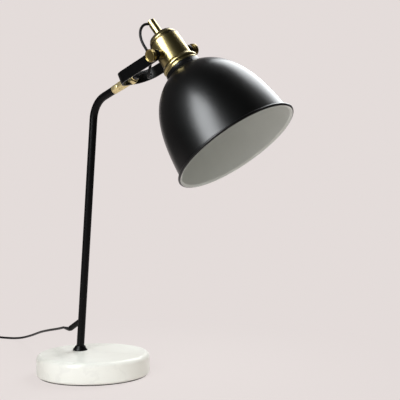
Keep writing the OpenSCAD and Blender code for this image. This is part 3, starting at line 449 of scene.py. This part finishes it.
def revolved(name, profile, spot, segments, closed=True):
    """Turns an outline of (radius, distance) points about the middle line that spot() gives."""
    mesh = bmesh.new()
    rings = []
    for radius, along in profile:
        if radius < 0.001:
            rings.append([mesh.verts.new(spot(along) * MM)] * segments)
        else:
            rings.append([mesh.verts.new(spot(along, radius, a) * MM)
                          for a in np.arange(segments) * 2 * math.pi / segments])
    for i in range(len(rings) if closed else len(rings) - 1):
        a, b = rings[i], rings[(i + 1) % len(rings)]
        for j in range(segments):
            k = (j + 1) % segments
            corners = list(dict.fromkeys((a[j], a[k], b[k], b[j])))
            if len(corners) > 2:
                mesh.faces.new(corners).smooth = True
    return piece(name, mesh)


def on_arm(along, radius=0.0, a=0.0):
    return in_yoke((-along, radius * math.cos(a), radius * math.sin(a)))


seat = YOKE_DEPTH + STRAP_T
front = seat + YOKE_FERRULE_L
seam = front + SWIVEL_GAP
nipple_end = seat - 10.8
for name, body, outline in (
    ("arm_ferrule", "stand", [
        (2.5, seam + 24.5), (4.3, seam + 24.5), (4.45, seam + 24.2), (4.45, seam + ARM_FERRULE_L),
        (5.5, seam + ARM_FERRULE_L), (5.75, seam + ARM_FERRULE_L - 0.1), (5.9, seam + ARM_FERRULE_L - 0.4),
        (5.9, seam + 0.5), (5.8, seam + 0.2), (5.6, seam), (4, seam),
        (4, seam - 7.2), (3.65, seam - 7.3), (3.65, seam - 8.9), (4, seam - 9), (4, seam - 15.8),
        (3.8, seam - 16), (2.5, seam - 16)]),
    ("yoke_ferrule", "yoke", [
        (4.05, front), (5.8, front), (6.05, front - 0.1), (6.2, front - 0.4), (6.2, seat + 0.7), (6.1, seat + 0.2),
        (5.85, seat), (5, seat), (5, nipple_end + 0.2), (4.8, nipple_end), (2.5, nipple_end), (2.5, seat + 6.2),
        (4.05, seat + 6.2)]),
):
    ferrule = revolved("turned_" + name, outline, on_arm, 128)
    ferrule.data.materials.append(bright_brass)
    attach(ferrule, body)
    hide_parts(name)

# ---------- Yoke ----------
# A flat steel strap bent to a U and powder coated matt black. A nipple and a brass nut hold it on
# its ferrule, and a glossy bush in the nipple keeps the lead from chafing.
yoke_black = finish("Matt black strap", (0.0016, 0.0016, 0.0018), (0.0024, 0.0024, 0.0026), 0.36, spread=0.12,
                    patch_scale=60, grain_scale=1400, bump=0.06, Specular_IOR_Level=0.11)
paint(yoke_black, "yoke_strap")
bush_gloss = finish("Glossy bush", (0.01, 0.01, 0.012), (0.014, 0.014, 0.016), 0.12, spread=0.05)
paint(bush_gloss, "cable_bush")

# ---------- Lamp holder ----------
# Turned and spun brass with an antique finish: the cup and its domed cap, the slotted tube on top,
# the bosses and the ring that grips the shade. Friction washers sit between bosses and yoke.
head_way = head_turn @ np.array([0, 0, 1.0])
hinge_way = yoke_turn @ np.array([0, 1.0, 0])
old_brass = turned(finish("Antique brass", (0.36, 0.295, 0.14), (0.28, 0.225, 0.1), 0.28, spread=0.03,
                          patch_scale=50, bump=0.002, Metallic=1), head_way, 900, 0.006)
paint(old_brass, "holder_cup", "cup_cap", "cord_tube", "gallery_ring", "cap_nut")


def eased_corners(profile, ease=0.15):
    """Cuts each corner of an outline twice, so that a turned edge catches the light."""
    out = []
    for i, b in enumerate(profile):
        a, b, c = (np.array(v, float) for v in (profile[i - 1], b, profile[(i + 1) % len(profile)]))
        la, lc = np.linalg.norm(a - b), np.linalg.norm(c - b)
        e = min(ease, la / 3, lc / 3)
        p, q = b + (a - b) / la * e, b + (c - b) / lc * e
        out += [p, 0.25 * p + 0.5 * b + 0.25 * q, q]
    return out


CUP_R, CUP_TOP, CUP_END, SHEET = 20.7, -20, 14.5, 1.2
SHOULDER_R, SHOULDER_AT, SHOULDER_END = 6, -21.6, 55


def arc(radius, start, end, count):
    """The cap's shoulder, as (radius, distance) points from one angle to another."""
    return [(CUP_R - SHEET - SHOULDER_R + radius * math.cos(a), SHOULDER_AT - radius * math.sin(a))
            for a in np.radians(np.linspace(start, end, count))]


cup_outline = eased_corners([(CUP_R - SHEET, CUP_TOP), (CUP_R, CUP_TOP), (CUP_R, CUP_TOP + 2), (CUP_R, CUP_END),
                             (CUP_R - SHEET, CUP_END)], 0.3)
shoulder = arc(SHOULDER_R, 0, SHOULDER_END, 13)
shoulder_in = arc(SHOULDER_R - SHEET, SHOULDER_END - 5, 0, 9)
step_r, step_t = shoulder[-1]
cap_outline = ([(19.45, -15), (19.45, -20), (20.4, -20), (20.5, -20.15), (20.5, -20.6), (20.2, -20.8),
                (19.1, -20.8), (19.1, -21.4)] + shoulder
               + [(step_r - 0.12, step_t - 0.2), (step_r - 0.2, step_t - 0.95), (step_r - 0.3, step_t - 1.25),
                  (step_r - 0.7, step_t - 1.5), (8.3, step_t - 1.79), (5.05, step_t - 1.8), (5.05, step_t - 0.6),
                  (8.2, step_t - 0.6), (step_r - 1.5, step_t - 0.3)] + shoulder_in + [(18.3, -15)])
BEAD_R = 2.8
ring_outline = ([(19.05, CUP_END), (20.8, CUP_END), (21.0, CUP_END + 0.1), (21.1, CUP_END + 0.8)]
                + [(21.7 + BEAD_R * math.cos(a), CUP_END + 5 + BEAD_R * math.sin(a))
                   for a in np.radians(np.linspace(-80, 60, 15))]
                + [(22.95, 22.5), (23.1, 22.85), (23.6, 23.0), (23.85, 23.2), (24.0, 24.3), (23.9, 24.9),
                   (23.6, 25.3), (23.1, 25.5), (19.05, 25.5)])
# The darker brass band at the seam under the cap and on the cap's step is painted shade for these creases, with
# patina in the groove.
seam_shade_and_patina = finish("Painted seam shade and patina", (0.09, 0.07, 0.035), (0.06, 0.045, 0.022), 0.4, bump=0.004, Metallic=1)
for name, outline in (("holder_cup", cup_outline), ("cup_cap", cap_outline), ("gallery_ring", ring_outline)):
    turning = revolved("turned_" + name, outline, on_head, 160)
    turning.data.materials.append(old_brass)
    turning.data.materials.append(seam_shade_and_patina)
    # Faces at the seam under the cap and on the cap's step get the painted shade.
    for face in turning.data.polygons:
        at = (np.array(face.center) / MM - hinge) @ head_way
        face.material_index = int(name != "gallery_ring" and (-21.5 < at < -18 or -27.9 < at < -26.7))
    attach(turning, "head")
    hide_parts(name)
# The bosses and thumbscrews take a darker copy of the antique brass. This is painted shade, so that they look
# darker than the cup.
shaded_boss_brass = turned(finish("Antique brass darkened as painted shade", (0.25, 0.19, 0.075), (0.18, 0.135, 0.05), 0.34, spread=0.1,
                           patch_scale=50, bump=0.002, Metallic=1), hinge_way, 900, 0.006)
paint(shaded_boss_brass, "hinge_bosses", "hinge_washers")
insulator = finish("Moulded insulator", (0.012, 0.01, 0.009), (0.018, 0.015, 0.013), 0.35)
paint(insulator, "holder_insert", "shade_ring")

# ---------- Thumbscrews ----------
# Two turned brass thumbscrews hold the holder in the yoke. Each has a dished head with a raised
# lip, a neck, and a plain screw that runs through the yoke into its boss.
KNOB_IN, NECK_L, KNOB_T = 32.2, 4.8, 4.8
knob_low, knob_top = KNOB_IN + NECK_L, KNOB_IN + NECK_L + KNOB_T
knob_outline = [(0, 21.7), (2.3, 21.7), (2.5, 21.9), (2.5, KNOB_IN), (5.3, KNOB_IN), (5.5, KNOB_IN + 0.2),
                (5.5, KNOB_IN + 1.2), (5.1, KNOB_IN + 1.6), (5.1, knob_low - 0.8), (5.3, knob_low - 0.2),
                (5.7, knob_low), (7.5, knob_low), (8.0, knob_low + 0.2), (8.3, knob_low + 0.7),
                (8.3, knob_top - 0.7), (8.2, knob_top - 0.3), (7.9, knob_top - 0.05), (7.5, knob_top),
                (7.1, knob_top - 0.1), (6.8, knob_top - 0.35), (6.55, knob_top - 0.7), (6.1, knob_top - 0.85),
                (3.0, knob_top - 0.95), (0, knob_top - 1.0)]
for name, side in (("near_knob", -1), ("far_knob", 1)):
    def on_hinge(along, radius=0.0, a=0.0, side=side):
        return hinge + yoke_turn @ np.array([radius * math.cos(a), side * along, radius * math.sin(a)])
    thumbscrew = revolved("turned_" + name, knob_outline, on_hinge, 96, closed=False)
    thumbscrew.data.materials.append(shaded_boss_brass)
    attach(thumbscrew, name)
    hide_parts(name)

# ---------- Shade ----------
# One piece of spun steel: a flange, a short neck, a deep dome and a rolled rim. It is enamelled
# satin black outside and off-white inside, and the white reaches onto the lip of the rim.
WALL, RIM_R = 0.8, 1.9
rim_r, rim_t = 84.5 - RIM_R, 153.8 - RIM_R
neck, mouth = np.array([24.8, 32]), np.array([79.9, 150])


def heading_by(degrees):
    return np.array([math.sin(math.radians(degrees)), math.cos(math.radians(degrees))])


pull, push = neck + 46 * heading_by(65), mouth - 52 * heading_by(5.5)
dome, dome_inside = [], []
for s in np.linspace(0, 1, 61):
    r = 1 - s
    spot = r ** 3 * neck + 3 * r ** 2 * s * pull + 3 * r * s ** 2 * push + s ** 3 * mouth
    way = unit(r ** 2 * (pull - neck) + 2 * r * s * (push - pull) + s ** 2 * (mouth - push))
    dome.append(spot)
    dome_inside.append(spot + WALL * np.array([-way[1], way[0]]))
bead = [(rim_r + RIM_R * math.cos(a), rim_t + RIM_R * math.sin(a))
        for a in np.radians(np.arange(212, 540, 12) - 360)]
outside = ([(19.3, 25.5), (23.6, 25.5), (24.0, 25.58), (24.3, 25.8), (24.45, 26.2)] + dome
           + [(80.05, 150.8), (80.4, 151.0)])
inside = [(80.2, 152.8), (79.5, 152.3), (79.12, 151.4)] + dome_inside[::-1] + [
    (24.0, 27.5), (23.8, 26.6), (23.4, 26.35), (19.3, 26.3)]
BLACK_ON_BEAD = 20
white_from = len(outside) + BLACK_ON_BEAD
profile = outside + bead[:-1] + inside

SHADE_SIDES = 192
shade_shell = revolved("shade_shell", profile, on_head, SHADE_SIDES)
for i, face in enumerate(shade_shell.data.polygons):
    face.material_index = int(i // SHADE_SIDES >= white_from)
shade_black = turned(finish("Satin black enamel", (0.0014, 0.0014, 0.0015), (0.002, 0.002, 0.0021), 0.31,
                            spread=0.08, patch_scale=25, grain_scale=1200, bump=0.03,
                            Specular_IOR_Level=0.29), head_way, 350, 0.02)
shade_white = finish("White enamel", (0.60, 0.62, 0.59), (0.54, 0.56, 0.53), 0.45, spread=0.1, patch_scale=25,
                     bump=0.03)
shade_shell.data.materials.append(shade_black)
shade_shell.data.materials.append(shade_white)
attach(shade_shell, "head")
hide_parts("shade")

# ---------- Switch and plug ----------
# Black mouldings on the cord: a two-part switch case with a glossy rocker on a steel pin, and a
# flat moulded plug with two tinned pins and its own strain relief.
case_plastic = finish("Moulded case", (0.014, 0.014, 0.015), (0.02, 0.02, 0.021), 0.5, grain_scale=1100, bump=0.1)
paint(case_plastic, "switch_base", "switch_cover", "plug_body")
paint(soft_rubber, "plug_boot")
rocker_gloss = finish("Glossy rocker", (0.012, 0.012, 0.013), (0.016, 0.016, 0.017), 0.18, spread=0.05)
paint(rocker_gloss, "switch_rocker")
pin_metal = finish("Tinned pins", (0.72, 0.70, 0.66), (0.62, 0.60, 0.56), 0.2, spread=0.1, patch_scale=90,
                   Metallic=1)
paint(pin_metal, "plug_pins")

# ---------- Studio ----------
# A pale floor that runs into a backdrop of the same colour, one softbox at the front left, another
# behind at the right, and a key light bounced off a card. Gloss shows the softboxes, the backdrop
# and, in front of the lamp, a darker room.
PALE = (0.775, 0.716, 0.701, 1)
DIM_PALE = (*(0.15 * c for c in PALE[:3]), 1)
AIM = Vector((0.12, 0, 0.25))


def light(name, azimuth, elevation, distance, width, height, power):
    """A soft panel that faces the lamp from a direction in degrees."""
    data = bpy.data.lights.new(name, "AREA")
    data.shape = "RECTANGLE"
    data.size, data.size_y, data.energy = width, height, power
    data.color = (0.95, 0.98, 1)
    lamp = bpy.data.objects.new(name, data)
    scene.collection.objects.link(lamp)
    a, e = math.radians(azimuth), math.radians(elevation)
    way = Vector((math.cos(a) * math.cos(e), math.sin(a) * math.cos(e), math.sin(e)))
    facing = way.to_track_quat("Z", "Y").to_matrix().to_4x4()
    lamp.matrix_world = Matrix.Translation(AIM + way * distance) @ facing
    return lamp


light("Front softbox", -88, 27, 1.4, 0.6, 1.05, 44).visible_diffuse = False
light("Rear softbox", 104, 40, 1.5, 0.85, 1.1, 20)
light("Bounced key", -64, 27, 1.6, 1.2, 1.2, 23).visible_glossy = False

world = bpy.data.worlds.new("Studio")
scene.world = world
world.use_nodes = True
tree = world.node_tree
view = tree.nodes.new("ShaderNodeTexCoord").outputs["Generated"]
toward = tree.nodes.new("ShaderNodeVectorMath")
toward.operation = "DOT_PRODUCT"
toward.inputs[1].default_value = (0.717, -0.695, 0.036)
room = tree.nodes.new("ShaderNodeValToRGB")
room.color_ramp.elements[0].position = 0.3
room.color_ramp.elements[0].color = DIM_PALE
room.color_ramp.elements[1].position = 0.62
room.color_ramp.elements[1].color = (0.035, 0.035, 0.033, 1)
for position, colour in ((0.035, PALE), (0.09, DIM_PALE)):
    room.color_ramp.elements.new(position).color = colour
half = math_node(tree, "ADD", math_node(tree, "MULTIPLY", toward.outputs["Value"], 0.5), 0.5)
path = tree.nodes.new("ShaderNodeLightPath").outputs
seen = tree.nodes.new("ShaderNodeMix")
seen.data_type = "RGBA"
seen.inputs["B"].default_value = PALE
ambient = tree.nodes.new("ShaderNodeMix")
ambient.data_type = "RGBA"
ambient.inputs["B"].default_value = (0.4, 0.385, 0.355, 1)
join(tree, (view, toward.inputs[0]), (half, room.inputs["Fac"]), (room.outputs["Color"], ambient.inputs["A"]),
     (path["Is Diffuse Ray"], ambient.inputs["Factor"]), (ambient.outputs["Result"], seen.inputs["A"]),
     (path["Is Camera Ray"], seen.inputs["Factor"]),
     (seen.outputs["Result"], tree.nodes["Background"].inputs["Color"]))

floor_mesh = bmesh.new()
bmesh.ops.create_grid(floor_mesh, x_segments=1, y_segments=1, size=0.8)
floor = piece("floor", floor_mesh)
floor_paint = bpy.data.materials.new("Floor")
floor_paint.use_nodes = True
tree = floor_paint.node_tree
shader = tree.nodes["Principled BSDF"]
shader.inputs["Base Color"].default_value = PALE
shader.inputs["Roughness"].default_value = 0.9
shader.inputs["Specular IOR Level"].default_value = 0
glow = tree.nodes.new("ShaderNodeEmission")
glow.inputs["Color"].default_value = PALE
blend = tree.nodes.new("ShaderNodeMixShader")
path = tree.nodes.new("ShaderNodeLightPath").outputs
reach = tree.nodes.new("ShaderNodeVectorMath")
reach.operation = "LENGTH"
fade = tree.nodes.new("ShaderNodeMapRange")
fade.interpolation_type = "SMOOTHSTEP"
for name, value in (("From Min", 0.08), ("From Max", 0.5), ("To Min", 0.8), ("To Max", 1)):
    fade.inputs[name].default_value = value
join(tree, (tree.nodes.new("ShaderNodeTexCoord").outputs["Object"], reach.inputs[0]),
     (reach.outputs["Value"], fade.inputs["Value"]))
plain = math_node(tree, "MULTIPLY", math_node(tree, "MAXIMUM", path["Is Camera Ray"], path["Is Glossy Ray"]),
                  fade.outputs["Result"])
join(tree, (plain, blend.inputs[0]), (shader.outputs[0], blend.inputs[1]), (glow.outputs[0], blend.inputs[2]),
     (blend.outputs[0], tree.nodes["Material Output"].inputs["Surface"]))
floor.data.materials.append(floor_paint)
